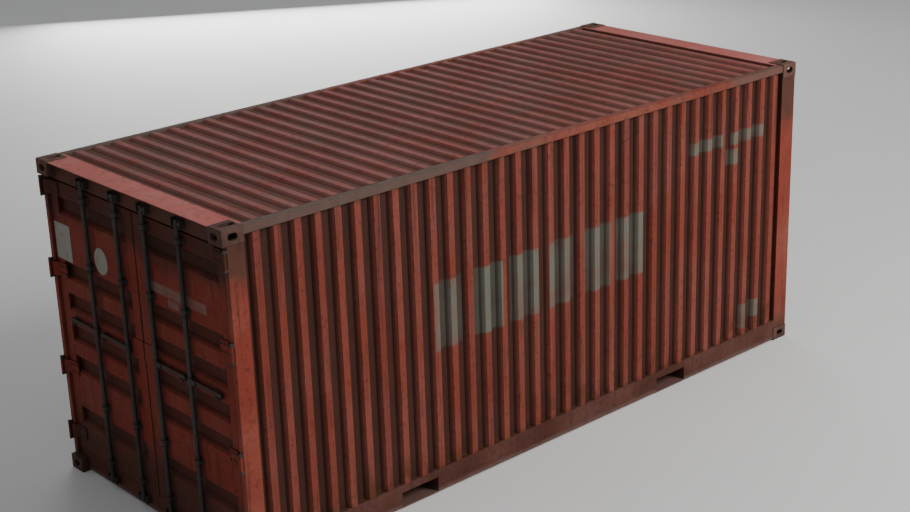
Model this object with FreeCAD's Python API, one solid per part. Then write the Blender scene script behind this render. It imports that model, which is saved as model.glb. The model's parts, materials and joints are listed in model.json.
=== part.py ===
"""Twenty-foot steel dry-cargo shipping container with two hinged end doors.

Millimetres, +Z up. The origin is the bottom centre of the box: Z = 0 is the plane of the
bottom corner castings, X runs along the length with the doors at -X, and +Y is the left side
seen from inside the container looking at the closed front wall.
"""
import FreeCAD, Part
import os

V = FreeCAD.Vector
fuzz = 0.001

# ---- overall -------------------------------------------------------------------------------
length = 6058.0
width = 2438.0
height = 2591.0

# ---- corner castings -----------------------------------------------------------------------
casting_length = 178.0
casting_width = 162.0
casting_height = 118.0
casting_wall = 28.0
casting_inner_wall = 14.0
casting_round = 8.0
deck_slot_length = 124.0
deck_slot_width = 63.5
lash_slot_length = 79.0
lash_slot_width = 51.0
deck_slot_from_end = 102.5
deck_slot_from_side = 89.5
lash_slot_from_end = 89.0

# ---- set-backs from the faces of the castings ------------------------------------------------
side_setback = 6.0
front_setback = 6.0
roof_setback = 6.0

# ---- corner posts and end beams --------------------------------------------------------------
rear_post_width = 43.0
rear_post_setback = 38.0
front_post_width = 60.0
post_wall = 6.0
beam_wall = 5.0
header_depth = 141.0
front_sill_top = 200.0

# ---- side rails ------------------------------------------------------------------------------
top_rail_size = 60.0
top_rail_wall = 4.0
bottom_rail_base = 15.0
bottom_rail_top = 200.0
bottom_rail_flange = 45.0
bottom_rail_wall = 5.0

# ---- underframe and floor --------------------------------------------------------------------
crossmember_height = 122.0
crossmember_width = 45.0
crossmember_wall = 4.0
crossmember_pitch = 300.0
floor_thickness = 28.0
pocket_centre = 1430.0
pocket_length = 360.0
pocket_web = 8.0
pocket_roof = 6.0
pocket_strap = 8.0
pocket_strap_reach = 260.0

# ---- corrugated sheets -----------------------------------------------------------------------
sheet = 2.0
wall_pitch = 172.0
wall_crest = 58.0
wall_slope = 30.0
wall_depth = 36.0
roof_pitch = 169.0
roof_crest = 54.0
roof_slope = 30.0
roof_depth = 20.0
roof_plate_depth = 210.0
roof_plate = 4.0

# ---- door leaves -----------------------------------------------------------------------------
door_face = 60.0
portal_step = 6.0
leaf_thickness = 50.0
leaf_gap = 12.0
centre_gap = 6.0
edge_gap = 8.0
stile_width = 100.0
leaf_rail_height = 120.0
frame_wall = 4.0
recess_depth = 36.0
recess_slope = 28.0
recess_height = 140.0
recess_pitch = 260.0
upper_flat = 380.0
lower_flat = 260.0
lower_recess_rise = 393.0
gasket_depth = 20.0
gasket_lip = 6.0
gasket_centre_lip = 2.0
centre_plate_height = 160.0
centre_plate_width = 130.0
centre_plate = 6.0

# ---- hinges ----------------------------------------------------------------------------------
hinge_rises = (213.0, 773.0)
hinge_drops = (762.0, 101.0)
pin_inset = 13.0
pin_side_inset = 11.0
pin_radius = 6.0
pin_fit = 0.05
knuckle_radius = 11.0
blade_height = 110.0
blade_thickness = 10.0
blade_reach = 185.0
blade_joggle = 30.0
blade_clearance = 5.0
lug_height = 22.0
lug_clearance = 1.0

# ---- lock bars, guides, handles, catches and keepers ------------------------------------------
inner_bar_offset = 190.0
outer_bar_from_edge = 526.0
bar_inset = 32.0
bar_radius = 17.0
bar_wall = 3.5
bar_tail = 28.0
bar_fit = 0.1
guide_above_recess = 60.0
guide_radius = 24.0
guide_height = 40.0
guide_foot_width = 92.0
guide_foot = 6.0
cam_height = 26.0
cam_reach = 40.0
cam_thickness = 22.0
sill_cam_level = 98.0
header_cam_rise = 62.0
keeper_clearance = 6.0
keeper_lug = 12.0
keeper_height = 62.0
keeper_base = 8.0
keeper_front = 20.0
handle_tip_gap = 62.0
handle_height = 36.0
handle_thickness = 10.0
handle_pivot = 46.0
handle_pin_radius = 6.0
hub_radius = 22.0
hub_height = 60.0
hub_ear = 6.0
hub_ear_reach = 66.0
hub_ear_height = 40.0
ear_clearance = 1.0
catch_from_tip = 50.0
catch_width = 50.0
catch_plate = 8.0
catch_clearance = 5.0

# ---- positions worked out from the sizes above -------------------------------------------------
rear_end = -length / 2
front_end = length / 2
outer_side = width / 2 - side_setback
roof_top = height - roof_setback
beam_top = roof_top - roof_plate
header_bottom = beam_top - header_depth
rail_start = rear_end + casting_length
rail_end = front_end - casting_length
post_bottom = casting_height
post_top = height - casting_height
casting_inner_side = width / 2 - casting_width
crossmember_base = bottom_rail_base + bottom_rail_wall
floor_bottom = crossmember_base + crossmember_height
floor_top = floor_bottom + floor_thickness
web_inner = outer_side - bottom_rail_wall
pocket_top = floor_bottom - pocket_roof
rail_inner = outer_side - top_rail_size
rail_bottom = roof_top - top_rail_size
rear_post_inner = outer_side - rear_post_width
front_post_inner = outer_side - front_post_width
leaf_outer = rear_post_inner - leaf_gap
leaf_bottom = floor_top + edge_gap
leaf_top = header_bottom - edge_gap
pin_y = width / 2 - pin_side_inset
pin_x = rear_end + pin_inset
face_x = rear_end + door_face
leaf_back_x = face_x + leaf_thickness
portal_x = face_x + portal_step
post_x = rear_end + rear_post_setback
bar_x = rear_end + bar_inset
panel_bottom = leaf_bottom + leaf_rail_height
panel_top = leaf_top - leaf_rail_height
recess_run_top = panel_top - recess_height - upper_flat
lower_recess_top = leaf_bottom + lower_recess_rise
recess_run = recess_run_top - recess_height - lower_flat - lower_recess_top
recess_run_count = int(recess_run // recess_pitch) + 1
ridge_height = recess_pitch - recess_height
handle_level = recess_run_top - 2 * recess_pitch + ridge_height / 2
centre_plate_bottom = handle_level - ridge_height / 2
bar_offsets = (inner_bar_offset, leaf_outer - outer_bar_from_edge)
handle_length = bar_offsets[1] - bar_offsets[0] - handle_tip_gap
catch_offset = handle_length - catch_from_tip
hinge_heights = [post_bottom + rise for rise in hinge_rises] + [post_top - drop for drop in hinge_drops]
guide_heights = (leaf_bottom + leaf_rail_height / 2, lower_recess_top + lower_flat / 2,
                 recess_run_top + guide_above_recess, leaf_top - leaf_rail_height / 2)
cam_levels = (sill_cam_level, header_bottom + header_cam_rise)
bar_bottom = cam_levels[0] - bar_tail
bar_top = cam_levels[1] + bar_tail

os.makedirs("parts", exist_ok=True)


def save(name, shapes):
    """Write one node: a single solid, or like solids that do not touch."""
    solids = [solid for shape in shapes for solid in shape.Solids]
    shape = solids[0] if len(solids) == 1 else Part.makeCompound(solids)
    shape.exportStep("parts/" + name + ".step")


def block(x0, x1, y0, y1, z0, z1):
    """Box between two corners given in any order."""
    low = V(min(x0, x1), min(y0, y1), min(z0, z1))
    return Part.makeBox(abs(x1 - x0), abs(y1 - y0), abs(z1 - z0), low)


def prism(points, along):
    """Solid swept from a closed outline of points."""
    return Part.Face(Part.makePolygon(points + [points[0]])).extrude(along)


def rod(radius, start, along):
    """Round bar from a start point along a vector."""
    return Part.makeCylinder(radius, along.Length, start, along)


def fused(pieces):
    """One solid from pieces that share faces or overlap."""
    return pieces[0].multiFuse(pieces[1:]).removeSplitter()


def mirrored_y(shape):
    """The same shape on the other side of the centre plane."""
    return shape.mirror(V(0, 0, 0), V(0, 1, 0))


def mirrored_x(shape):
    """The same shape at the other end."""
    return shape.mirror(V(0, 0, 0), V(1, 0, 0))


def both_sides(shape):
    return [shape, mirrored_y(shape)]


def slot(centre, long_half, radius, long_axis, normal, depth):
    """Cutter for a round-ended slot centred on a point, going both ways along its normal."""
    run = long_axis * (long_half - radius)
    start = centre - normal * depth
    across = normal.cross(long_axis) * radius
    corners = [start - run - across, start + run - across, start + run + across, start - run + across]
    ends = [rod(radius, start + run, normal * 2 * depth), rod(radius, start - run, normal * 2 * depth)]
    return fused([prism(corners, normal * 2 * depth)] + ends)


def wave(first, last, pitch, crest, slope):
    """Positions and levels (0 valley, 1 crest) of a trapezoid wave centred between two edges."""
    rib = crest + 2 * slope
    count = int((last - first - rib) // pitch) + 1
    start = (first + last) / 2 - (count - 1) * pitch / 2
    steps = [(first, 0)]
    for number in range(count):
        centre = start + number * pitch
        steps += [(centre - rib / 2, 0), (centre - crest / 2, 1)]
        steps += [(centre + crest / 2, 1), (centre + rib / 2, 0)]
    return steps + [(last, 0)]


# ---- corner castings ----------------------------------------------------------------------------
def outer_edges(body, corner):
    """The three edges of a box that meet at one of its corners."""
    return [edge for edge in body.Edges if any(point.Point.isEqual(corner, fuzz) for point in edge.Vertexes)]


def corner_casting(top):
    """Hollow casting at the +X, +Y corner, with its deck slot, side hole and end hole."""
    z0 = height - casting_height if top else 0.0
    x0 = front_end - casting_length
    y0 = casting_inner_side
    deck_z = height if top else 0.0
    body = block(x0, front_end, y0, width / 2, z0, z0 + casting_height)
    body = body.makeFillet(casting_round, outer_edges(body, V(front_end, width / 2, deck_z)))
    inner_low = casting_inner_wall if top else casting_wall
    inner_high = casting_wall if top else casting_inner_wall
    cavity = block(x0 + casting_inner_wall, front_end - casting_wall, y0 + casting_inner_wall,
                   width / 2 - casting_wall, z0 + inner_low, z0 + casting_height - inner_high)
    hole_z = z0 + casting_height / 2
    deck = slot(V(front_end - deck_slot_from_end, width / 2 - deck_slot_from_side, deck_z),
                deck_slot_length / 2, deck_slot_width / 2, V(1, 0, 0), V(0, 0, 1), casting_wall + 1)
    side = slot(V(front_end - lash_slot_from_end, width / 2, hole_z),
                lash_slot_length / 2, lash_slot_width / 2, V(1, 0, 0), V(0, 1, 0), casting_wall + 1)
    end = slot(V(front_end, width / 2 - lash_slot_from_end, hole_z),
               lash_slot_length / 2, lash_slot_width / 2, V(0, 1, 0), V(1, 0, 0), casting_wall + 1)
    return body.cut(cavity).cut(deck).cut(side).cut(end)


def four_corners(shape):
    return both_sides(shape) + both_sides(mirrored_x(shape))


save("corner_castings_bottom", four_corners(corner_casting(False)))
save("corner_castings_top", four_corners(corner_casting(True)))


# ---- corner posts --------------------------------------------------------------------------------
def tube_post(x0, x1, inner):
    """Welded box-section post between the bottom and top castings."""
    outside = block(x0, x1, inner, outer_side, post_bottom, post_top)
    hollow = block(x0 + post_wall, x1 - post_wall, inner + post_wall, outer_side - post_wall,
                   post_bottom, post_top)
    return outside.cut(hollow)


save("rear_corner_posts", both_sides(tube_post(post_x, rail_start, rear_post_inner)))
save("front_corner_posts", both_sides(tube_post(rail_end, front_end - front_setback, front_post_inner)))


# ---- end beams -----------------------------------------------------------------------------------
def sill(x0, x1, top, post_inner):
    """Bottom beam: narrow between the castings, full width above them."""
    wide = block(x0, x1, -post_inner, post_inner, casting_height, top)
    narrow = block(x0, x1, -casting_inner_side, casting_inner_side, bottom_rail_base, top)
    hollow = block(x0 + beam_wall, x1 - beam_wall, -casting_inner_side + beam_wall,
                   casting_inner_side - beam_wall, bottom_rail_base + beam_wall, top - beam_wall)
    return fused([wide, narrow]).cut(hollow)


def header(x0, x1, post_inner):
    """Top beam: full width below the castings, narrow between them."""
    wide = block(x0, x1, -post_inner, post_inner, header_bottom, post_top)
    narrow = block(x0, x1, -casting_inner_side, casting_inner_side, header_bottom, beam_top)
    hollow = block(x0 + beam_wall, x1 - beam_wall, -casting_inner_side + beam_wall,
                   casting_inner_side - beam_wall, header_bottom + beam_wall, beam_top - beam_wall)
    return fused([wide, narrow]).cut(hollow)


save("rear_sill", [sill(portal_x, rail_start, floor_top, rear_post_inner)])
save("front_sill", [sill(rail_end, front_end - front_setback, front_sill_top, front_post_inner)])
save("rear_header", [header(portal_x, rail_start, rear_post_inner)])
save("front_header", [header(rail_end, front_end - front_setback, front_post_inner)])


# ---- side rails ----------------------------------------------------------------------------------
def top_rail():
    outside = block(rail_start, rail_end, rail_inner, outer_side, rail_bottom, roof_top)
    hollow = block(rail_start, rail_end, rail_inner + top_rail_wall, outer_side - top_rail_wall,
                   rail_bottom + top_rail_wall, roof_top - top_rail_wall)
    return outside.cut(hollow)


def bottom_rail():
    """Channel open to the inside, cut away where the forklift pockets pass through it."""
    outside = block(rail_start, rail_end, outer_side - bottom_rail_flange, outer_side,
                    bottom_rail_base, bottom_rail_top)
    hollow = block(rail_start, rail_end, outer_side - bottom_rail_flange, web_inner,
                   crossmember_base, bottom_rail_top - bottom_rail_wall)
    rail = outside.cut(hollow)
    for centre in (-pocket_centre, pocket_centre):
        half = pocket_length / 2
        mouth = block(centre - half, centre + half, 0, width, crossmember_base, pocket_top)
        seat = block(centre - half - pocket_web, centre + half + pocket_web, 0, width, 0, crossmember_base)
        rail = rail.cut(mouth).cut(seat)
    return rail


save("top_side_rails", both_sides(top_rail()))
save("bottom_side_rail_left", [bottom_rail()])
save("bottom_side_rail_right", [mirrored_y(bottom_rail())])


# ---- underframe ----------------------------------------------------------------------------------
def crossmember(centre):
    """Channel across the width, open towards +X."""
    x0 = centre - crossmember_width / 2
    outside = block(x0, x0 + crossmember_width, -web_inner, web_inner, crossmember_base, floor_bottom)
    hollow = block(x0 + crossmember_wall, x0 + crossmember_width, -web_inner, web_inner,
                   crossmember_base + crossmember_wall, floor_bottom - crossmember_wall)
    return outside.cut(hollow)


def crossmembers():
    spaces = round((rail_end - rail_start) / crossmember_pitch)
    step = (rail_end - rail_start) / spaces
    reach = pocket_length / 2 + pocket_web + crossmember_width / 2
    centres = [rail_start + number * step for number in range(1, spaces)]
    return [crossmember(x) for x in centres if abs(abs(x) - pocket_centre) > reach]


def fork_pocket(centre):
    """Tunnel across the width: roof plate, two webs and a strap under each mouth."""
    half = pocket_length / 2
    pieces = [block(centre - half - pocket_web, centre + half + pocket_web, -web_inner, web_inner,
                    pocket_top, floor_bottom)]
    for side in (-1, 1):
        edge = centre + side * half
        pieces.append(block(edge, edge + side * pocket_web, -web_inner, web_inner,
                            crossmember_base, pocket_top))
        pieces.append(block(centre - half - pocket_web, centre + half + pocket_web,
                            side * (web_inner - pocket_strap_reach), side * outer_side,
                            crossmember_base - pocket_strap, crossmember_base))
    return fused(pieces)


save("crossmembers", crossmembers())
save("fork_pocket_rear", [fork_pocket(-pocket_centre)])
save("fork_pocket_front", [fork_pocket(pocket_centre)])
save("floor", [block(rail_start, rail_end, -web_inner, web_inner, floor_bottom, floor_top)])


# ---- walls and roof ------------------------------------------------------------------------------
def side_wall():
    steps = wave(rail_start, rail_end, wall_pitch, wall_crest, wall_slope)
    valley = outer_side - wall_depth
    outline = [V(x, valley + level * wall_depth, bottom_rail_top) for x, level in steps]
    inner = [point - V(0, sheet, 0) for point in reversed(outline)]
    return prism(outline + inner, V(0, 0, rail_bottom - bottom_rail_top))


def front_wall():
    steps = wave(-front_post_inner, front_post_inner, wall_pitch, wall_crest, wall_slope)
    valley = front_end - front_setback - wall_depth
    outline = [V(valley + level * wall_depth, y, front_sill_top) for y, level in steps]
    inner = [point - V(sheet, 0, 0) for point in reversed(outline)]
    return prism(outline + inner, V(0, 0, header_bottom - front_sill_top))


def roof():
    first = rear_end + roof_plate_depth
    last = front_end - roof_plate_depth
    steps = wave(first, last, roof_pitch, roof_crest, roof_slope)
    outline = [V(x, -rail_inner, roof_top - roof_depth + level * roof_depth) for x, level in steps]
    inner = [point - V(0, 0, sheet) for point in reversed(outline)]
    return prism(outline + inner, V(0, 2 * rail_inner, 0))


def roof_end_plate():
    """Flat plate over the end beam, turned down to the first valley of the roof sheet."""
    edge = front_end - front_setback
    between_castings = block(rail_end, edge, -casting_inner_side, casting_inner_side, beam_top, roof_top)
    inboard = block(front_end - roof_plate_depth, rail_end, -rail_inner, rail_inner, beam_top, roof_top)
    curb = block(front_end - roof_plate_depth, front_end - roof_plate_depth + roof_plate,
                 -rail_inner, rail_inner, roof_top - roof_depth - sheet, beam_top)
    return fused([between_castings, inboard, curb])


save("side_wall_left", [side_wall()])
save("side_wall_right", [mirrored_y(side_wall())])
save("front_wall", [front_wall()])
save("roof", [roof()])
save("roof_end_plates", [roof_end_plate(), mirrored_x(roof_end_plate())])


# ---- hinges on the rear posts ----------------------------------------------------------------------
def hinge_lug(z0):
    """Ear welded to the post's face, bored for the pin."""
    arm = block(pin_x, post_x, pin_y - knuckle_radius, outer_side, z0, z0 + lug_height)
    nose = rod(knuckle_radius, V(pin_x, pin_y, z0), V(0, 0, lug_height))
    bore = rod(pin_radius, V(pin_x, pin_y, z0), V(0, 0, lug_height))
    return fused([arm, nose]).cut(bore)


def hinge_lugs():
    lugs = []
    for level in hinge_heights:
        lugs.append(hinge_lug(level - blade_height / 2 - lug_clearance - lug_height))
        lugs.append(hinge_lug(level + blade_height / 2 + lug_clearance))
    return lugs


def hinge_pins():
    tall = blade_height + 2 * (lug_clearance + lug_height)
    return [rod(pin_radius, V(pin_x, pin_y, level - tall / 2), V(0, 0, tall)) for level in hinge_heights]


save("hinge_lugs", [lug for one in hinge_lugs() for lug in both_sides(one)])
save("hinge_pins", [pin for one in hinge_pins() for pin in both_sides(one)])


# ---- cam keepers on the header and the sill ----------------------------------------------------------
def cam_keeper(y, level):
    """Base plate with a lug on each side of the cam, open to the front."""
    z0 = level - keeper_height / 2
    z1 = level + keeper_height / 2
    inner = cam_reach + keeper_clearance
    outer = inner + keeper_lug
    pieces = [block(portal_x - keeper_base, portal_x, y - outer, y + outer, z0, z1)]
    for side in (-1, 1):
        pieces.append(block(rear_end + keeper_front, portal_x - keeper_base,
                            y + side * inner, y + side * outer, z0, z1))
    return fused(pieces)


save("cam_keepers", [keeper for y in bar_offsets for level in cam_levels
                     for keeper in both_sides(cam_keeper(y, level))])


# ---- door leaves (left leaf; the right one is its mirror image) ----------------------------------------
def door_frame():
    """Welded rectangular tubes: two stiles with rails between them."""
    outside = block(face_x, leaf_back_x, centre_gap, leaf_outer, leaf_bottom, leaf_top)
    window = block(face_x, leaf_back_x, centre_gap + stile_width, leaf_outer - stile_width,
                   panel_bottom, panel_top)
    frame = outside.cut(window)
    x0 = face_x + frame_wall
    x1 = leaf_back_x - frame_wall
    for y0 in (centre_gap, leaf_outer - stile_width):
        frame = frame.cut(block(x0, x1, y0 + frame_wall, y0 + stile_width - frame_wall,
                                leaf_bottom + frame_wall, leaf_top - frame_wall))
    for z0 in (leaf_bottom, leaf_top - leaf_rail_height):
        frame = frame.cut(block(x0, x1, centre_gap + stile_width, leaf_outer - stile_width,
                                z0 + frame_wall, z0 + leaf_rail_height - frame_wall))
    return frame


def door_panel():
    """Pressed sheet with level recesses, set between the stiles flush with their faces."""
    tops = [panel_top]
    tops += [recess_run_top - number * recess_pitch for number in range(recess_run_count)]
    tops.append(lower_recess_top)
    steps = []
    for top in tops:
        steps += [(top, 0), (top - recess_slope, 1), (top - recess_height + recess_slope, 1),
                  (top - recess_height, 0)]
    steps.append((panel_bottom, 0))
    y0 = centre_gap + stile_width
    outline = [V(face_x + level * recess_depth, y0, z) for z, level in steps]
    inner = [point + V(sheet, 0, 0) for point in reversed(outline)]
    return prism(outline + inner, V(0, leaf_outer - stile_width - y0, 0))


def door_gasket():
    """Rubber lip round the leaf's back edge."""
    x0 = leaf_back_x - gasket_depth
    outside = block(x0, leaf_back_x, centre_gap - gasket_centre_lip, leaf_outer + gasket_lip,
                    leaf_bottom - gasket_centre_lip, leaf_top + gasket_centre_lip)
    leaf = block(x0, leaf_back_x, centre_gap, leaf_outer, leaf_bottom, leaf_top)
    return outside.cut(leaf)


def hinge_blade(level):
    """Knuckle round the pin and a strap that passes the post and steps back onto the leaf's face."""
    z0 = level - blade_height / 2
    up = V(0, 0, blade_height)
    knuckle = rod(knuckle_radius, V(pin_x, pin_y, z0), up)
    strap_back = post_x - blade_clearance
    neck = block(pin_x, strap_back, pin_y - blade_thickness / 2, pin_y + blade_thickness / 2,
                 z0, z0 + blade_height)
    step_start = leaf_outer - blade_joggle
    route = [(pin_y, strap_back), (leaf_outer, strap_back),
                  (step_start, face_x), (pin_y - blade_reach, face_x)]
    outline = [V(x - blade_thickness, y, z0) for y, x in route]
    outline += [V(x, y, z0) for y, x in reversed(route)]
    strap = prism(outline, up)
    bore = rod(pin_radius + pin_fit, V(pin_x, pin_y, z0), up)
    return fused([knuckle, neck, strap]).cut(bore)


def bar_guide(y, level):
    """Bearing ring round the lock bar on a foot bolted to the leaf."""
    z0 = level - guide_height / 2
    up = V(0, 0, guide_height)
    ring = rod(guide_radius, V(bar_x, y, z0), up)
    throat = block(bar_x, face_x, y - guide_radius, y + guide_radius, z0, z0 + guide_height)
    foot = block(face_x - guide_foot, face_x, y - guide_foot_width / 2, y + guide_foot_width / 2,
                 z0, z0 + guide_height)
    bore = rod(bar_radius + bar_fit, V(bar_x, y, z0), up)
    return fused([ring, throat, foot]).cut(bore)


def handle_catch(y):
    """Plate on the leaf with a shelf that the closed handle lies over."""
    shelf_top = handle_level - handle_height / 2 - catch_clearance
    y0 = y + catch_offset - catch_width / 2
    plate = block(face_x - catch_plate, face_x, y0, y0 + catch_width, shelf_top - catch_plate,
                  handle_level + handle_height / 2)
    shelf = block(rear_end + keeper_front, face_x, y0, y0 + catch_width, shelf_top - catch_plate, shelf_top)
    return fused([plate, shelf])


def centre_plate_half():
    """Raised plate on the meeting stile."""
    return block(face_x - centre_plate, face_x, centre_gap, centre_gap + centre_plate_width,
                 centre_plate_bottom, centre_plate_bottom + centre_plate_height)


leaf_nodes = {
    "frame": [door_frame()],
    "panel": [door_panel()],
    "gasket": [door_gasket()],
    "hinge_blades": [hinge_blade(level) for level in hinge_heights],
    "bar_guides": [bar_guide(y, level) for y in bar_offsets for level in guide_heights],
    "handle_catches": [handle_catch(y) for y in bar_offsets],
    "centre_plate": [centre_plate_half()],
}
for name, shapes in leaf_nodes.items():
    save("door_left_" + name, shapes)
    save("door_right_" + name, [mirrored_y(shape) for shape in shapes])


# ---- lock bars and handles -----------------------------------------------------------------------------
def lock_bar(y):
    """Tube with a cam near each end and a forked hub for its handle."""
    tube = rod(bar_radius, V(bar_x, y, bar_bottom), V(0, 0, bar_top - bar_bottom))
    pieces = [tube]
    for level in cam_levels:
        pieces.append(block(bar_x - cam_thickness / 2, bar_x + cam_thickness / 2, y, y + cam_reach,
                            level - cam_height / 2, level + cam_height / 2))
    pieces.append(rod(hub_radius, V(bar_x, y, handle_level - hub_height / 2), V(0, 0, hub_height)))
    gap_x0 = bar_x - handle_thickness / 2 - ear_clearance
    gap_x1 = bar_x + handle_thickness / 2 + ear_clearance
    for x0, x1 in ((gap_x0 - hub_ear, gap_x0), (gap_x1, gap_x1 + hub_ear)):
        pieces.append(block(x0, x1, y, y + hub_ear_reach, handle_level - hub_ear_height / 2,
                            handle_level + hub_ear_height / 2))
    pin = rod(handle_pin_radius, V(gap_x0 - hub_ear, y + handle_pivot, handle_level),
              V(gap_x1 - gap_x0 + 2 * hub_ear, 0, 0))
    hollow = rod(bar_radius - bar_wall, V(bar_x, y, bar_bottom), V(0, 0, bar_top - bar_bottom))
    return fused(pieces + [pin]).cut(hollow)


def handle(y):
    """Flat lever on the hub's pin, with a round eye and a round tip."""
    x0 = bar_x - handle_thickness / 2
    across = V(handle_thickness, 0, 0)
    half = handle_height / 2
    eye = rod(half, V(x0, y + handle_pivot, handle_level), across)
    tip = rod(half, V(x0, y + handle_length - half, handle_level), across)
    lever = block(x0, x0 + handle_thickness, y + handle_pivot, y + handle_length - half,
                  handle_level - half, handle_level + half)
    bore = rod(handle_pin_radius + pin_fit, V(x0, y + handle_pivot, handle_level), across)
    return fused([eye, tip, lever]).cut(bore)


for place, y in zip(("inner", "outer"), bar_offsets):
    save("lock_bar_left_" + place, [lock_bar(y)])
    save("lock_bar_right_" + place, [mirrored_y(lock_bar(y))])
    save("handle_left_" + place, [handle(y)])
    save("handle_right_" + place, [mirrored_y(handle(y))])
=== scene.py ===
"""Looks of the steel shipping container: weathered paint, markings, small fittings, light and camera.

Metres, +Z up, doors at -X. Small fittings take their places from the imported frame's boxes and joints;
markings, placards, lights and camera have places of their own, named below.
"""

import json
import math
import random

import bmesh
import bpy
from mathutils import Matrix, Vector


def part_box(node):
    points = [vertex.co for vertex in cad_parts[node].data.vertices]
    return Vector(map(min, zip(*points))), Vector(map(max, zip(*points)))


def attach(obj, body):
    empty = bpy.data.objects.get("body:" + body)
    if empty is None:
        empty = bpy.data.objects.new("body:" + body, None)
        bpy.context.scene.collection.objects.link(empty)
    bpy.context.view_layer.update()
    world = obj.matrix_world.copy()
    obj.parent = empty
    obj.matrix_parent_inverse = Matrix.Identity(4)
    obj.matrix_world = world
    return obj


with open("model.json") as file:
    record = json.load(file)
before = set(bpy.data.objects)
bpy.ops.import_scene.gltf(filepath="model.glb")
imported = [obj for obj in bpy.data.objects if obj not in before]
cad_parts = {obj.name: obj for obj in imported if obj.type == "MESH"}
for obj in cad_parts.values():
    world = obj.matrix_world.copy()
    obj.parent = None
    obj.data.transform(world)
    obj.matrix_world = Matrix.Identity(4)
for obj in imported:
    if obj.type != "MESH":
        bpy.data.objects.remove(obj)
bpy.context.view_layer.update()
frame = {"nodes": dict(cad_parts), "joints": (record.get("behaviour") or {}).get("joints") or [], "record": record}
nodes = frame["nodes"]
rng = random.Random(20)


# ---- node trees -------------------------------------------------------------------------------
class Tree:
    """One material's nodes. Numbers, colours and sockets all go in as inputs."""

    def __init__(self, name):
        self.material = bpy.data.materials.new(name)
        self.material.use_nodes = True
        self.tree = self.material.node_tree
        self.shader = self.tree.nodes["Principled BSDF"]
        self.place = self.add("ShaderNodeTexCoord").outputs["Object"]
        self.x, self.y, self.z = self.add("ShaderNodeSeparateXYZ", {0: self.place}).outputs

    def put(self, socket, value):
        if isinstance(value, bpy.types.NodeSocket):
            self.tree.links.new(value, socket)
        elif isinstance(value, (tuple, list)) and len(value) == 3 and len(socket.default_value) == 4:
            socket.default_value = (*value, 1.0)
        else:
            socket.default_value = value

    def add(self, kind, inputs=None, **settings):
        node = self.tree.nodes.new(kind)
        for key, value in settings.items():
            setattr(node, key, value)
        for key, value in (inputs or {}).items():
            self.put(node.inputs[key], value)
        return node

    def math(self, operation, a, b=0.0, c=0.0):
        return self.add("ShaderNodeMath", {0: a, 1: b, 2: c}, operation=operation).outputs[0]

    def times(self, *values):
        result = values[0]
        for value in values[1:]:
            result = self.math("MULTIPLY", result, value)
        return result

    def most(self, *values):
        result = values[0]
        for value in values[1:]:
            result = self.math("MAXIMUM", result, value)
        return result

    def opposite(self, value):
        return self.math("SUBTRACT", 1.0, value)

    def step(self, value, start, end):
        """0 before start, 1 after end, smooth between; start may lie above end."""
        low, high, flip = (start, end, False) if start < end else (end, start, True)
        limits = {0: value, 1: low, 2: high, 3: 1.0 if flip else 0.0, 4: 0.0 if flip else 1.0}
        return self.add("ShaderNodeMapRange", limits, interpolation_type="SMOOTHSTEP").outputs[0]

    def noise(self, scale, detail=5.0, stretch=(1, 1, 1), seed=0.0, rough=0.6):
        """Cloudy values between 0 and 1; the seed shifts the place where they are read."""
        shift = (seed, seed * 1.7, seed * 2.3)
        moved = self.add("ShaderNodeMapping", {"Vector": self.place, "Location": shift, "Scale": stretch})
        inputs = {"Vector": moved.outputs[0], "Scale": scale, "Detail": detail, "Roughness": rough}
        return self.add("ShaderNodeTexNoise", inputs).outputs[0]

    def blend(self, factor, a, b, mode="MIX"):
        node = self.add("ShaderNodeMix", data_type="RGBA", blend_type=mode)
        for socket, value in ((node.inputs[0], factor), (node.inputs[6], a), (node.inputs[7], b)):
            self.put(socket, value)
        return node.outputs[2]

    def tinted(self, colour, tint):
        return self.blend(1.0, colour, tint, "MULTIPLY")

    def facing(self, axis, sign):
        """1 on faces whose normal points along an axis (0, 1 or 2) with the given sign."""
        normal = self.add("ShaderNodeTexCoord").outputs["Normal"]
        part = self.add("ShaderNodeSeparateXYZ", {0: normal}).outputs[axis]
        return self.step(self.times(part, sign), 0.0, 0.15)

    def occlusion(self, distance):
        """1 in tight corners, 0 in the open."""
        node = self.add("ShaderNodeAmbientOcclusion", {"Distance": distance}, samples=6)
        return self.opposite(node.outputs["AO"])

    def edges(self, radius):
        """1 along sharp outside edges."""
        soft = self.add("ShaderNodeBevel", {"Radius": radius}, samples=6).outputs[0]
        hard = self.add("ShaderNodeNewGeometry").outputs["Normal"]
        match = self.add("ShaderNodeVectorMath", {0: soft, 1: hard}, operation="DOT_PRODUCT").outputs["Value"]
        return self.step(match, 0.97, 0.80)

    def finish(self, colour, roughness, height, strength=0.35, edge=0.003, metallic=0.0):
        """Join colour, roughness and relief to the shader, with edges softened by a small radius."""
        soft = self.add("ShaderNodeBevel", {"Radius": edge}, samples=4).outputs[0]
        relief = {"Strength": strength, "Distance": RELIEF_DEPTH, "Height": height, "Normal": soft}
        bump = self.add("ShaderNodeBump", relief).outputs[0]
        surface = {"Base Color": colour, "Roughness": roughness, "Normal": bump,
                   "Specular IOR Level": DULL_GLOSS, "Metallic": metallic}
        for key, value in surface.items():
            self.put(self.shader.inputs[key], value)
        return self.material


# Depth of the relief and specular level, the same for every finish.
RELIEF_DEPTH = 0.004
DULL_GLOSS = 0.14

# Colours in linear light.
RUST_DARK = (0.035, 0.013, 0.007)
RUST_LIGHT = (0.110, 0.038, 0.016)
# Dark soiling for runs and stains, also used as painted shade in corners.
GRIME_AND_SHADE = (0.020, 0.012, 0.009)
MARK = (0.105, 0.118, 0.092)
DUST = (0.120, 0.078, 0.064)
# Valley colours: soiling and painted shade together.
VALLEY_DIRT_AND_SHADE = (0.017, 0.009, 0.006)
VALLEY_DUST_AND_SHADE = (0.040, 0.016, 0.010)


def rust_colour(t):
    """Dark and light rust, mottled."""
    return t.blend(t.noise(38, 6, seed=3.1), RUST_DARK, RUST_LIGHT)


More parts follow.
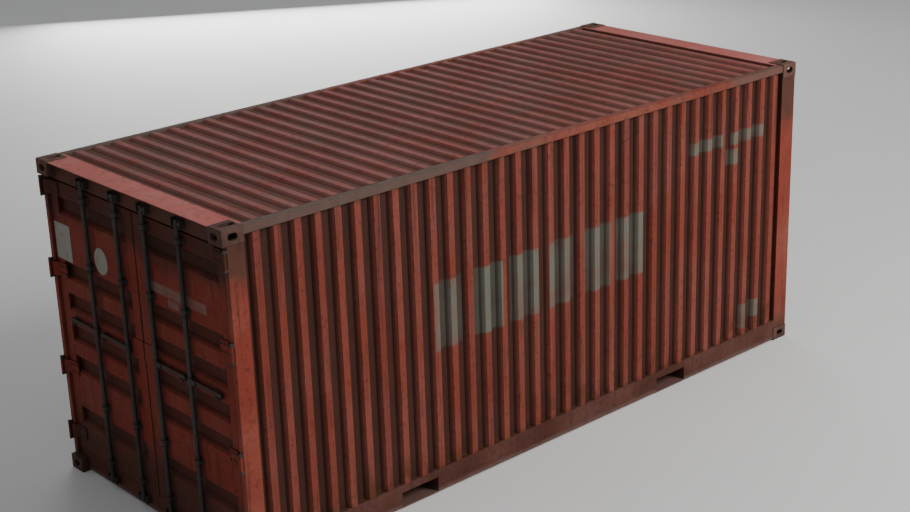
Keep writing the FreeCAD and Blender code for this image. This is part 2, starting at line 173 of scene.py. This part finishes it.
def weathered(t, fresh, faded, rust_amount=0.5, streaks=0.5, corner_grime_and_shade=0.6, extra_rust=None):
    """Paint colour with fading, vertical runs, rust, and darkening in corners that is partly soiling and partly
    painted shade. Returns colour, rust mask and relief.
    """
    # Broad fading, small darker spots and dark vertical runs.
    colour = t.blend(t.step(t.noise(1.7, 4, seed=5.0), 0.35, 0.68), fresh, faded)
    darker = t.tinted(colour, (0.62, 0.58, 0.55))
    colour = t.blend(t.step(t.noise(26, 5, seed=9.0), 0.50, 0.75), colour, darker)
    runs = t.step(t.noise(5, 6, (6, 6, 0.35), seed=1.3), 0.52, 0.74)
    colour = t.blend(t.times(runs, streaks), colour, GRIME_AND_SHADE)
    # Rust in spots, on chipped edges and in vertical runs.
    edge = t.edges(0.010)
    spots = t.step(t.noise(11, 8, seed=2.2, rough=0.72), 0.66 - 0.10 * rust_amount, 0.74)
    chipped = t.times(edge, t.step(t.noise(17, 5, seed=7.7), 0.42, 0.56))
    rust = t.most(t.times(spots, rust_amount), chipped)
    if extra_rust is not None:
        rust = t.most(rust, extra_rust)
    rust_runs = t.times(t.step(t.noise(4, 6, (7, 7, 0.22), seed=4.4), 0.60, 0.72), rust_amount, 0.7)
    rust = t.most(rust, rust_runs)
    colour = t.blend(rust, colour, rust_colour(t))
    # Soiling where air and rain don't reach, with painted shade in the same corners.
    corner = t.occlusion(0.09)
    colour = t.blend(t.times(corner, corner_grime_and_shade), colour, GRIME_AND_SHADE)
    grain = t.times(t.noise(120, 3, seed=6.0), 0.25)
    relief = t.math("ADD", grain, t.times(rust, t.noise(70, 6, seed=8.0)))
    return colour, rust, relief


def paint_roughness(t, rust, base=0.55):
    """Rust is rougher than paint, and neither is quite even."""
    return t.math("ADD", t.math("MULTIPLY_ADD", rust, 0.25, base), t.times(t.noise(9, 4, seed=1.9), 0.14))


def patch(t, across, low, high, up, bottom, top, soft=0.012):
    """1 inside a rectangle on a wall, given by two coordinates."""
    return t.times(t.step(across, low - soft, low + soft), t.step(across, high + soft, high - soft),
                   t.step(up, bottom - soft, bottom + soft), t.step(up, top + soft, top - soft))


# ---- materials --------------------------------------------------------------------------------
wall_low, wall_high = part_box("side_wall_right")

# Blank blocks and bars where markings are usual: their reach in X, then in Z.
BLOCK_START, BLOCK_PITCH, BLOCK_WIDTH, BLOCK_COUNT = -1.221, 0.398, 0.298, 6
BLOCK_HEIGHT = (1.168, 1.706)
SIDE_BARS = [((1.663, 2.060), (2.030, 2.137)),
             ((2.190, 2.625), (2.014, 2.122)),
             ((2.106, 2.279), (1.841, 1.976)),
             ((2.356, 2.440), (0.264, 0.495)),
             ((2.500, 2.606), (0.330, 0.495))]


def wall_marks(t):
    """1 on the side walls' blank blocks and bars, a little worn."""
    starts = [BLOCK_START + number * BLOCK_PITCH for number in range(BLOCK_COUNT)]
    marks = [patch(t, t.x, start, start + BLOCK_WIDTH, t.z, *BLOCK_HEIGHT) for start in starts]
    marks += [patch(t, t.x, *across, t.z, *up) for across, up in SIDE_BARS]
    worn = t.step(t.noise(3.0, 3, seed=11.0), 0.75, 0.30)
    return t.times(t.most(*marks), t.math("MULTIPLY_ADD", worn, 0.50, 0.38))


def wall_paint(name, depth_axis, outer_plane, marked):
    """Corrugated sheet: crests faded by the sun, valleys darkened by soiling and painted shade, rust creeping up
    from the sill.
    """
    t = Tree(name)
    depth = wall_high.y - wall_low.y
    position, along, axis = (t.y, t.x, 1) if depth_axis == "y" else (t.x, t.y, 0)
    valley = t.step(t.math("ABSOLUTE", position), outer_plane - 0.1 * depth, outer_plane - 0.85 * depth)
    foot = t.times(t.step(t.z, 0.62, 0.20), t.step(t.noise(6, 6, (1, 1, 0.5), seed=12.0), 0.46, 0.62))
    colour, rust, relief = weathered(t, (0.168, 0.033, 0.020), (0.180, 0.046, 0.033), 0.45, 0.45, 0.80,
                                     extra_rust=t.times(foot, 0.8))
    # Valleys darkened: partly soiling, partly painted shade.
    valley_dirt_and_shade = t.blend(t.noise(7, 5, seed=34.0), VALLEY_DIRT_AND_SHADE, VALLEY_DUST_AND_SHADE)
    colour = t.blend(t.times(valley, 0.85), colour, valley_dirt_and_shade)
    # Some ribs are darker than others.
    pace = {"W": t.times(along, 5.4), "Scale": 1.0, "Detail": 1.0}
    rib = t.add("ShaderNodeTexNoise", pace, noise_dimensions="1D").outputs[0]
    colour = t.blend(t.times(t.step(rib, 0.42, 0.70), 0.45), colour, t.tinted(colour, (0.66, 0.62, 0.62)))
    # Rust along the welded foot and head.
    foot_seam = t.step(t.z, wall_low.z + 0.045, wall_low.z + 0.004)
    head_seam = t.step(t.z, wall_high.z - 0.035, wall_high.z)
    seam = t.times(t.most(foot_seam, head_seam), t.step(t.noise(16, 6, seed=42.0), 0.40, 0.62))
    colour = t.blend(t.times(seam, 0.85), colour, rust_colour(t))
    # Level scrapes over the crests.
    scrape = t.step(t.noise(5, 6, (0.35, 1, 7), seed=37.0, rough=0.65), 0.63, 0.70)
    bared = t.blend(t.noise(30, 4, seed=38.0), RUST_DARK, (0.125, 0.066, 0.050))
    colour = t.blend(t.times(scrape, t.opposite(valley), 0.55), colour, bared)
    # Dirty runs from the top rail.
    shed = t.times(t.step(t.z, 1.55, 2.50), t.step(t.noise(8, 5, (3.2, 3.2, 0.12), seed=39.0), 0.52, 0.66))
    colour = t.blend(t.times(shed, 0.60), colour, GRIME_AND_SHADE)
    outward = t.facing(axis, t.math("SIGN", position))
    if marked:
        # The blocks go darker in the valleys: painted shade with soiling, as on the bare sheet.
        shade = t.blend(valley, MARK, (0.050, 0.050, 0.039))
        colour = t.blend(t.times(wall_marks(t), outward), colour, shade)
    # Cleaner paint inside, made lighter as painted fill light for the dim interior.
    patchy = t.step(t.noise(2.2, 6, seed=41.0), 0.40, 0.66)
    lining_with_painted_fill = t.blend(patchy, (0.180, 0.052, 0.038), (0.135, 0.052, 0.040))
    colour = t.blend(t.times(t.opposite(outward), 0.85), colour, lining_with_painted_fill)
    dents = t.noise(2.4, 2, seed=14.0)
    relief = t.math("ADD", relief, t.times(dents, 3.0))
    return t.finish(colour, paint_roughness(t, rust), relief, edge=0.006)


def wandering(t, position, noise, reach):
    """A coordinate that strays by up to half the reach either way, so that a border isn't straight."""
    return t.math("ADD", position, t.times(t.math("SUBTRACT", noise, 0.5), reach))


def frame_paint():
    """Posts, sills and headers: red, with stained heads and feet."""
    t = Tree("frame_paint")
    colour, rust, relief = weathered(t, (0.175, 0.030, 0.018), (0.215, 0.052, 0.034), 0.7, 0.45, 0.7)
    height = wandering(t, t.z, t.noise(2.6, 6, seed=35.0), 1.1)
    ends = t.most(t.step(height, 1.95, 2.30), t.step(height, 0.50, 0.12))
    stain = t.blend(t.noise(6, 6, seed=36.0), (0.026, 0.014, 0.009), (0.062, 0.034, 0.023))
    colour = t.blend(t.times(ends, 0.80), colour, stain)
    return t.finish(colour, paint_roughness(t, rust), relief)


def rail_paint():
    """Top rails: rubbed to grey-brown at both ends, red between."""
    t = Tree("rail_paint")
    colour, rust, relief = weathered(t, (0.170, 0.034, 0.020), (0.180, 0.054, 0.037), 0.8, 0.4, 0.7)
    along = wandering(t, t.x, t.noise(3.0, 5, seed=15.0), 3.2)
    rubbed = t.most(t.step(along, 0.3, -1.1), t.times(t.step(along, 1.4, 2.6), 0.75))
    bare = t.blend(t.noise(8, 6, seed=16.0), (0.050, 0.036, 0.027), (0.108, 0.082, 0.066))
    colour = t.blend(t.times(rubbed, 0.85), colour, bare)
    return t.finish(colour, paint_roughness(t, rust, 0.6), relief)


def roof_paint(name, dusty, fresh, faded):
    """Sun-bleached red with dust in blotches, darker in the valleys."""
    t = Tree(name)
    low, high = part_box("roof")
    colour, rust, relief = weathered(t, fresh, faded, 0.5, 0.0, 0.5)
    blotches = t.step(t.noise(2.2, 7, (1, 1.6, 1), seed=17.0), 0.40, 0.66)
    colour = t.blend(t.times(blotches, dusty), colour, DUST)
    # Darker in the valleys.
    valley = t.step(t.z, high.z - 0.003, low.z + 0.004)
    colour = t.blend(t.times(valley, 0.60), colour, (0.060, 0.034, 0.027))
    return t.finish(colour, paint_roughness(t, rust, 0.62), relief)


# Plain bars on the right leaf: their reach in Y, then in Z.
DOOR_BARS = [((-0.870, -0.170), (1.885, 1.960)),
             ((-0.520, -0.380), (1.815, 1.870)),
             ((-0.640, -0.270), (1.690, 1.735)),
             ((-0.820, -0.300), (1.195, 1.235))]


def door_marks(t):
    """1 on the right leaf's plain bars, well worn."""
    marks = [patch(t, t.y, *across, t.z, *up, soft=0.008) for across, up in DOOR_BARS]
    worn = t.step(t.noise(4.5, 3, seed=18.0), 0.72, 0.34)
    return t.times(t.most(*marks), t.math("MULTIPLY_ADD", worn, 0.50, 0.35))


def door_paint():
    """Leaves: deep red, with painted shade in the recesses and at the head, darker towards the foot, with worn
    bars.
    """
    t = Tree("door_paint")
    front = -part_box("door_left_panel")[0].x
    colour, rust, relief = weathered(t, (0.150, 0.021, 0.012), (0.160, 0.031, 0.020), 0.7, 0.7, 0.9)
    # Painted shade in the leaves' recesses, behind the outer face.
    face = t.step(t.math("ABSOLUTE", t.x), front - 0.026, front - 0.006)
    colour = t.blend(t.times(t.opposite(face), 0.62), colour, (0.026, 0.011, 0.007))
    # Painted shade at the head of the leaves, under the header.
    head = t.step(t.math("ADD", t.z, t.times(t.noise(2.8, 6, seed=40.0), 0.6)), 2.38, 2.62)
    colour = t.blend(t.times(head, 0.75), colour, (0.024, 0.011, 0.007))
    # Darker towards the foot, mottled.
    foot = t.step(t.math("ADD", t.z, t.times(t.noise(3.5, 6, seed=19.0), 0.5)), 0.92, 0.62)
    foot_dark = t.blend(t.noise(12, 6, seed=20.0), (0.022, 0.012, 0.008), (0.060, 0.026, 0.017))
    colour = t.blend(t.times(foot, 0.80), colour, foot_dark)
    colour = t.blend(t.times(door_marks(t), face, t.facing(0, -1.0), 0.8), colour, (0.150, 0.125, 0.105))
    return t.finish(colour, paint_roughness(t, rust), relief)


def underframe_paint():
    """Underframe: dark and rusty, spattered pale along its lower lip."""
    t = Tree("underframe_paint")
    colour, rust, relief = weathered(t, (0.060, 0.019, 0.013), (0.090, 0.036, 0.027), 1.0, 0.4, 0.6)
    lip = t.step(t.math("ADD", t.z, t.times(t.noise(7, 6, seed=21.0), 0.045)), 0.085, 0.040)
    colour = t.blend(t.times(lip, 0.65), colour, (0.125, 0.072, 0.060))
    return t.finish(colour, paint_roughness(t, rust, 0.65), relief)


def casting_steel():
    """Corner castings: brown, rough from the sand mould, chipped along their edges."""
    t = Tree("casting_steel")
    colour, rust, relief = weathered(t, (0.065, 0.032, 0.024), (0.115, 0.060, 0.046), 1.0, 0.3, 0.9)
    relief = t.math("ADD", relief, t.times(t.noise(45, 4, seed=22.0), 1.2))
    return t.finish(colour, paint_roughness(t, rust, 0.68), relief, strength=0.5, edge=0.008)


def gear_steel(name, fresh, faded):
    """Galvanised bars and brackets, dulled and stained, with red overspray in patches."""
    t = Tree(name)
    spangle = t.add("ShaderNodeTexVoronoi", {"Vector": t.place, "Scale": 55.0}).outputs["Distance"]
    zinc = t.blend(spangle, (0.026, 0.025, 0.023), (0.062, 0.060, 0.056))
    colour, rust, relief = weathered(t, fresh, faded, 0.8, 0.5, 0.5)
    colour = t.blend(0.4, colour, zinc)
    overspray = t.step(t.noise(3.2, 6, (1, 1, 0.6), seed=23.0), 0.55, 0.66)
    colour = t.blend(t.times(overspray, 0.7), colour, (0.090, 0.024, 0.016))
    return t.finish(colour, paint_roughness(t, rust, 0.45), relief, metallic=0.35)


def gasket_rubber():
    """Black rubber under dust."""
    t = Tree("gasket_rubber")
    dusty = t.step(t.noise(14, 5, seed=24.0), 0.45, 0.75)
    colour = t.blend(dusty, (0.012, 0.012, 0.012), (0.055, 0.050, 0.045))
    rough = t.math("MULTIPLY_ADD", dusty, 0.2, 0.6)
    return t.finish(colour, rough, t.noise(60, 4, seed=25.0), strength=0.2)


FLOOR_BOARDS = 8


def floor_wood():
    """Plywood boards laid along the box, scuffed by forklift wheels."""
    t = Tree("floor_wood")
    low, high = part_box("floor")
    board = (high.y - low.y) / FLOOR_BOARDS
    row = t.math("FRACT", t.math("DIVIDE", t.math("SUBTRACT", t.y, low.y), board))
    seam = t.most(t.step(row, 0.012, 0.0), t.step(row, 0.988, 1.0))
    grain = t.noise(9, 8, (0.6, 9, 9), seed=26.0)
    fibres = t.noise(60, 4, (0.15, 4, 4), seed=27.0)
    colour = t.blend(grain, (0.175, 0.095, 0.050), (0.360, 0.235, 0.140))
    colour = t.blend(t.times(fibres, 0.35), colour, (0.090, 0.048, 0.026))
    scuffs = t.step(t.noise(3, 7, (0.4, 2.5, 1), seed=28.0, rough=0.7), 0.50, 0.68)
    colour = t.blend(t.times(scuffs, 0.6), colour, (0.050, 0.040, 0.034))
    colour = t.blend(seam, colour, (0.015, 0.010, 0.008))
    relief = t.math("SUBTRACT", t.times(fibres, 0.4), t.times(seam, 2.0))
    return t.finish(colour, t.math("MULTIPLY_ADD", scuffs, 0.2, 0.55), relief)


def placard_paint():
    """Blank plates, off-white, worn through in spots."""
    t = Tree("placard_paint")
    worn = t.step(t.noise(16, 7, seed=29.0, rough=0.7), 0.56, 0.70)
    colour = t.blend(t.noise(5, 5, seed=30.0), (0.175, 0.162, 0.135), (0.250, 0.235, 0.200))
    colour = t.blend(t.times(worn, 0.8), colour, (0.060, 0.034, 0.024))
    rough = t.math("MULTIPLY_ADD", worn, 0.25, 0.45)
    return t.finish(colour, rough, t.noise(50, 4, seed=31.0), strength=0.15)


def ground_paint():
    """Pale studio floor."""
    t = Tree("ground_paint")
    tone = t.noise(0.6, 4, seed=32.0)
    colour = t.blend(tone, (0.600, 0.595, 0.580), (0.650, 0.645, 0.630))
    rough = t.math("MULTIPLY_ADD", tone, 0.1, 0.65)
    return t.finish(colour, rough, t.noise(20, 4, seed=33.0), strength=0.05)


finishes = {
    "wall": wall_paint("wall_paint", "y", -wall_low.y, True),
    "front": wall_paint("front_wall_paint", "x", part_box("front_wall")[1].x, False),
    "frame": frame_paint(),
    "rail": rail_paint(),
    "roof": roof_paint("roof_paint", 0.45, (0.190, 0.048, 0.038), (0.225, 0.074, 0.062)),
    "roof_plate": roof_paint("roof_plate_paint", 0.05, (0.345, 0.095, 0.078), (0.375, 0.128, 0.110)),
    "door": door_paint(),
    "underframe": underframe_paint(),
    "casting": casting_steel(),
    "gear": gear_steel("gear_steel", (0.036, 0.033, 0.030), (0.060, 0.056, 0.051)),
    "handle": gear_steel("handle_steel", (0.050, 0.017, 0.011), (0.070, 0.026, 0.018)),
    "gasket": gasket_rubber(),
    "floor": floor_wood(),
    "placard": placard_paint(),
    "ground": ground_paint(),
}

# The finish of each slot of the record, and of the few nodes that differ from their slot.
SLOT_FINISH = {
    "wall_paint": "wall", "frame_paint": "frame", "rail_paint": "rail", "roof_paint": "roof",
    "door_paint": "door", "underframe_paint": "underframe", "casting_steel": "casting",
    "gear_steel": "gear", "gasket_rubber": "gasket", "floor_wood": "floor",
}
NODE_FINISH = {"front_wall": "front", "roof_end_plates": "roof_plate"}
NODE_FINISH.update({node: "handle" for node in nodes if node.startswith("handle_")})

for entry in frame["record"]["subparts"]:
    node = entry["node"]
    finish = finishes[NODE_FINISH.get(node, SLOT_FINISH[entry["material_slot"]])]
    for slot in nodes[node].material_slots:
        slot.material = finish


# ---- mesh pieces ------------------------------------------------------------------------------
OUT = Vector((-1, 0, 0))
UP = Vector((0, 0, 1))


def piece(name, mesh_builder, body, finish):
    """A new piece made by a function that fills a bmesh."""
    mesh = bpy.data.meshes.new(name)
    built = bmesh.new()
    mesh_builder(built)
    bmesh.ops.recalc_face_normals(built, faces=built.faces)
    built.to_mesh(mesh)
    built.free()
    thing = bpy.data.objects.new(name, mesh)
    bpy.context.scene.collection.objects.link(thing)
    mesh.materials.append(finishes[finish])
    if body is None:
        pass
    else:
        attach(thing, body)
    return thing


def solids(node):
    """Boxes (low, high) of the separate solids in a CAD node."""
    mesh = nodes[node].data
    leader = {}

    def find(key):
        while leader[key] != key:
            leader[key] = leader[leader[key]]
            key = leader[key]
        return key

    keys = [tuple(round(c, 4) for c in vertex.co) for vertex in mesh.vertices]
    for key in keys:
        leader.setdefault(key, key)
    for face in mesh.polygons:
        first = find(keys[face.vertices[0]])
        for corner in face.vertices[1:]:
            leader[find(keys[corner])] = first
    groups = {}
    for key in leader:
        groups.setdefault(find(key), []).append(key)
    boxes = [(Vector(map(min, zip(*group))), Vector(map(max, zip(*group)))) for group in groups.values()]
    return sorted(boxes, key=lambda pair: tuple(pair[0]))


def bridge(built, lower, upper):
    """Faces between two rings with as many points."""
    count = len(lower)
    for number in range(count):
        after = (number + 1) % count
        built.faces.new((lower[number], lower[after], upper[after], upper[number]))


def cap(built, rings):
    """Close both ends of a run of rings."""
    built.faces.new(rings[-1])
    built.faces.new(list(reversed(rings[0])))


def revolved(built, profile, base, axis, sides):
    """Rings turned from (radius, height) points about an axis from a base point, and joined up."""
    turn = UP.rotation_difference(axis).to_matrix()
    rings = []
    for radius, height in profile:
        ring = []
        for number in range(sides):
            angle = 2 * math.pi * number / sides
            spot = Vector((radius * math.cos(angle), radius * math.sin(angle), height))
            ring.append(built.verts.new(base + turn @ spot))
        rings.append(ring)
    for lower, upper in zip(rings, rings[1:]):
        bridge(built, lower, upper)
    return rings


def bolt_head(built, base, axis, size=0.010):
    """Washer with a chamfered hexagon head."""
    washer = [(size * 0.9, 0), (size * 0.9, size * 0.18), (size * 0.8, size * 0.2)]
    head = [(size * 0.66, size * 0.2), (size * 0.66, size * 0.62), (size * 0.55, size * 0.72)]
    for profile, sides in ((washer, 14), (head, 6)):
        cap(built, revolved(built, profile, base, axis, sides))


def domed(built, base, axis, radius, height):
    """Round head, such as the end of a hinge pin or a rivet."""
    steps = 4
    profile = [(radius, 0)]
    for number in range(1, steps):
        angle = math.pi / 2 * number / steps
        profile.append((radius * math.cos(angle), height * math.sin(angle)))
    cap(built, revolved(built, profile, base, axis, 14))


# Feet of the guides and catches, straps of the blades, and where their bolts sit.
GUIDE_FOOT, CATCH_FOOT, BLADE_STRAP = 0.006, 0.008, 0.010
GUIDE_BOLT_INSET, CATCH_BOLT_INSET = 0.012, 0.010
BLADE_BOLT_REACHES = (0.016, 0.052, 0.088)
BLADE_BOLT_RISES = (0.025, 0.085)


def leaf_bolts(side):
    """Bolt heads on the bar guides, hinge blades and handle catches of one leaf."""
    def build(built):
        for low, high in solids(f"door_{side}_bar_guides"):
            middle = (low.z + high.z) / 2
            for y in (low.y + GUIDE_BOLT_INSET, high.y - GUIDE_BOLT_INSET):
                bolt_head(built, Vector((high.x - GUIDE_FOOT, y, middle)), OUT)
        for low, high in solids(f"door_{side}_hinge_blades"):
            inner, sign = (low.y, 1) if low.y > 0 else (high.y, -1)
            for reach in BLADE_BOLT_REACHES:
                for rise in BLADE_BOLT_RISES:
                    bolt_head(built, Vector((high.x - BLADE_STRAP, inner + sign * reach, low.z + rise)), OUT)
        for low, high in solids(f"door_{side}_handle_catches"):
            spot = Vector((high.x - CATCH_FOOT, (low.y + high.y) / 2, high.z - CATCH_BOLT_INSET))
            bolt_head(built, spot, OUT, size=0.008)
    return build


def pin_heads(built):
    """Rolled heads on both ends of each hinge pin."""
    for low, high in solids("hinge_pins"):
        centre = (low + high) / 2
        for z, axis in ((high.z, UP), (low.z, -UP)):
            domed(built, Vector((centre.x, centre.y, z)), axis, radius=0.0090, height=0.005)


# Section of a collar as (radius, height), and its gap to the guide.
COLLAR = [(0.0171, 0), (0.0205, 0.001), (0.0215, 0.003), (0.0215, 0.011), (0.0205, 0.013), (0.0171, 0.014)]
COLLAR_GAP = 0.006


def bar_collars(side, centre_x, centre_y):
    """Rings welded to a lock bar above and below each guide."""
    def build(built):
        for low, high in solids(f"door_{side}_bar_guides"):
            if not low.y < centre_y < high.y:
                continue
            for z in (low.z - COLLAR_GAP - COLLAR[-1][1], high.z + COLLAR_GAP):
                rings = revolved(built, COLLAR, Vector((centre_x, centre_y, z)), UP, sides=20)
                bridge(built, rings[-1], rings[0])
    return build


def bead(built, path, radius, closed=False, sides=6, pace=0.014):
    """Weld bead along a path: a round rope that swells and thins at each pace."""
    legs = list(zip(path, path[1:] + path[:1])) if closed else list(zip(path, path[1:]))
    spots = []
    for start, end in legs:
        count = max(1, round((end - start).length / pace))
        spots += [start.lerp(end, number / count) for number in range(count)]
    if not closed:
        spots.append(path[-1])
    rings = []
    last = len(spots) - 1
    for number, spot in enumerate(spots):
        before = spots[number - 1] if number or closed else spot
        after = spots[number + 1] if number < last else (spots[0] if closed else spot)
        turn = UP.rotation_difference(after - before).to_matrix()
        reach = radius * rng.uniform(0.80, 1.12)
        ring = []
        for side in range(sides):
            angle = 2 * math.pi * side / sides
            rim = Vector((reach * math.cos(angle), reach * math.sin(angle), 0))
            ring.append(built.verts.new(spot + turn @ rim))
        rings.append(ring)
    for lower, upper in zip(rings, rings[1:] + (rings[:1] if closed else [])):
        bridge(built, lower, upper)
    if not closed:
        cap(built, rings)


# Radii of the weld beads, the pace of the long ones, and how close to a plane a corner counts as on it.
POST_BEAD, WALL_BEAD, ROOF_BEAD = 0.0035, 0.0030, 0.0025
SEAM_PACE = 0.020
ON_PLANE = 0.0005


def post_welds(built):
    """Beads round both ends of each corner post."""
    for node in ("rear_corner_posts", "front_corner_posts"):
        for low, high in solids(node):
            outline = ((low.x, low.y), (high.x, low.y), (high.x, high.y), (low.x, high.y))
            for z in (low.z, high.z):
                bead(built, [Vector((x, y, z)) for x, y in outline], POST_BEAD, closed=True)


def wall_welds(node):
    """Beads along the foot and the head of a corrugated wall, following its ribs."""
    def build(built):
        low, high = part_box(node)
        for z in (low.z, high.z):
            reach = {}
            for vertex in nodes[node].data.vertices:
                if abs(vertex.co.z - z) < ON_PLANE:
                    x = round(vertex.co.x, 4)
                    reach[x] = max(reach.get(x, 0.0), abs(vertex.co.y))
            sign = 1 if low.y > 0 else -1
            path = [Vector((x, sign * reach[x], z)) for x in sorted(reach)]
            bead(built, path, WALL_BEAD, sides=5, pace=SEAM_PACE)
    return build


def roof_welds(built):
    """Beads where the roof sheet meets the top rails, following its ribs."""
    low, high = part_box("roof")
    for y in (low.y, high.y):
        level = {}
        for vertex in nodes["roof"].data.vertices:
            if abs(vertex.co.y - y) < ON_PLANE:
                x = round(vertex.co.x, 4)
                level[x] = max(level.get(x, 0.0), vertex.co.z)
        path = [Vector((x, y, level[x] - 0.001)) for x in sorted(level)]
        bead(built, path, ROOF_BEAD, sides=5, pace=SEAM_PACE)


def floor_screws(built):
    """Rows of low screw heads over the crossmembers, two in each board."""
    low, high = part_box("floor")
    stray = 0.004
    for beam_low, beam_high in solids("crossmembers"):
        x = (beam_low.x + beam_high.x) / 2
        for number in range(FLOOR_BOARDS):
            for share in (0.18, 0.82):
                y = low.y + (high.y - low.y) * (number + share) / FLOOR_BOARDS
                spot = Vector((x + rng.uniform(-stray, stray), y + rng.uniform(-stray, stray), high.z))
                domed(built, spot, UP, radius=0.0065, height=0.0010)


for side in ("left", "right"):
    piece(f"leaf_bolts_{side}", leaf_bolts(side), f"door_{side}", "gear")
piece("post_welds", post_welds, "container", "frame")
piece("wall_welds_left", wall_welds("side_wall_left"), "container", "wall")
piece("wall_welds_right", wall_welds("side_wall_right"), "container", "wall")
piece("roof_welds", roof_welds, "container", "rail")
piece("floor_screws", floor_screws, "container", "gear")
piece("hinge_pin_heads", pin_heads, "container", "gear")
for joint in frame["joints"]:
    if joint["child"].startswith("lock_bar"):
        x, y, _ = joint["pos_m"]
        side = "left" if y > 0 else "right"
        piece(f"collars_{joint['child']}", bar_collars(side, x, y), joint["child"], "gear")


def plate(built, outline, x, thickness):
    """Flat plate on a leaf's face with a small chamfer, from (y, z) points."""
    centre = Vector((sum(p[0] for p in outline), sum(p[1] for p in outline))) / len(outline)
    rings = []
    for depth, shrink in ((0, 1.0), (thickness * 0.6, 1.0), (thickness, 0.985)):
        rings.append([built.verts.new((x - depth, centre.x + (p[0] - centre.x) * shrink,
                                       centre.y + (p[1] - centre.y) * shrink)) for p in outline])
    for lower, upper in zip(rings, rings[1:]):
        bridge(built, lower, upper)
    cap(built, rings)


# Blank placards on the left leaf, in Y and Z.
PLACARD_LOW, PLACARD_HIGH = Vector((0.925, 1.800)), Vector((1.150, 2.095))
PLACARD_THICKNESS = 0.003
RIVET_INSET = 0.013
OVAL_CENTRE, OVAL_RADII = (0.500, 1.925), (0.092, 0.105)
OVAL_POINTS = 40


def placards(built):
    """Riveted rectangular plate and oval plate on the left leaf's upper flat."""
    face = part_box("door_left_panel")[0].x
    low, high = PLACARD_LOW, PLACARD_HIGH
    rectangle = [(low.x, low.y), (high.x, low.y), (high.x, high.y), (low.x, high.y)]
    plate(built, rectangle, face, PLACARD_THICKNESS)
    oval = []
    for number in range(OVAL_POINTS):
        angle = 2 * math.pi * number / OVAL_POINTS
        oval.append((OVAL_CENTRE[0] + OVAL_RADII[0] * math.cos(angle),
                     OVAL_CENTRE[1] + OVAL_RADII[1] * math.sin(angle)))
    plate(built, oval, face, PLACARD_THICKNESS)
    for y in (low.x + RIVET_INSET, high.x - RIVET_INSET):
        for z in (low.y + RIVET_INSET, high.y - RIVET_INSET):
            domed(built, Vector((face - PLACARD_THICKNESS, y, z)), OUT, radius=0.005, height=0.002)


piece("door_placards", placards, "door_left", "placard")


# ---- ground, light and camera -------------------------------------------------------------------
def ground(built):
    """Flat square under the box."""
    reach = 60.0
    outline = ((-reach, -reach), (reach, -reach), (reach, reach), (-reach, reach))
    built.faces.new([built.verts.new((x, y, 0)) for x, y in outline])


piece("studio_floor", ground, None, "ground")

world = bpy.data.worlds.new("studio")
bpy.context.scene.world = world
world.use_nodes = True
background = world.node_tree.nodes["Background"]
background.inputs["Color"].default_value = (0.80, 0.82, 0.85, 1.0)
background.inputs["Strength"].default_value = 0.46


def area_light(name, place, aim, size, power):
    """Rectangular soft light aimed at a point."""
    data = bpy.data.lights.new(name, "AREA")
    data.shape = "RECTANGLE"
    data.size, data.size_y = size
    data.energy = power
    lamp = bpy.data.objects.new(name, data)
    bpy.context.scene.collection.objects.link(lamp)
    turn = (Vector(place) - Vector(aim)).to_track_quat("Z", "Y").to_matrix().to_4x4()
    lamp.matrix_world = Matrix.Translation(place) @ turn


area_light("key", (6.0, -13.0, 11.0), (0, 0, 1.2), (7, 7), 3200)
area_light("back", (9.0, 14.0, 2.4), (0, 0, 1.3), (9, 4), 1500)
area_light("fill", (-13.0, -4.0, 6.0), (0, 0, 1.2), (8, 6), 120)

# The camera's place, its direction (azimuth 0 is from -Y and -90 from -X), its small roll and its lens.
CAMERA_PLACE = (-8.681, -9.912, 6.167)
AZIMUTH = math.radians(-41.42)
ELEVATION = math.radians(20.31)
ROLL = math.radians(-1.87)
LENS = 66.33
back = Vector((math.sin(AZIMUTH) * math.cos(ELEVATION), -math.cos(AZIMUTH) * math.cos(ELEVATION),
               math.sin(ELEVATION)))
level = Vector((math.cos(AZIMUTH), math.sin(AZIMUTH), 0))
upright = back.cross(level)
right = level * math.cos(ROLL) + upright * math.sin(ROLL)
up = back.cross(right)
view = bpy.data.cameras.new("camera")
view.sensor_width = 36
view.lens = LENS
view.clip_end = 200
camera = bpy.data.objects.new("camera", view)
bpy.context.scene.collection.objects.link(camera)
turned = Matrix((right, up, back)).transposed().to_4x4()
camera.matrix_world = Matrix.Translation(CAMERA_PLACE) @ turned
bpy.context.scene.camera = camera
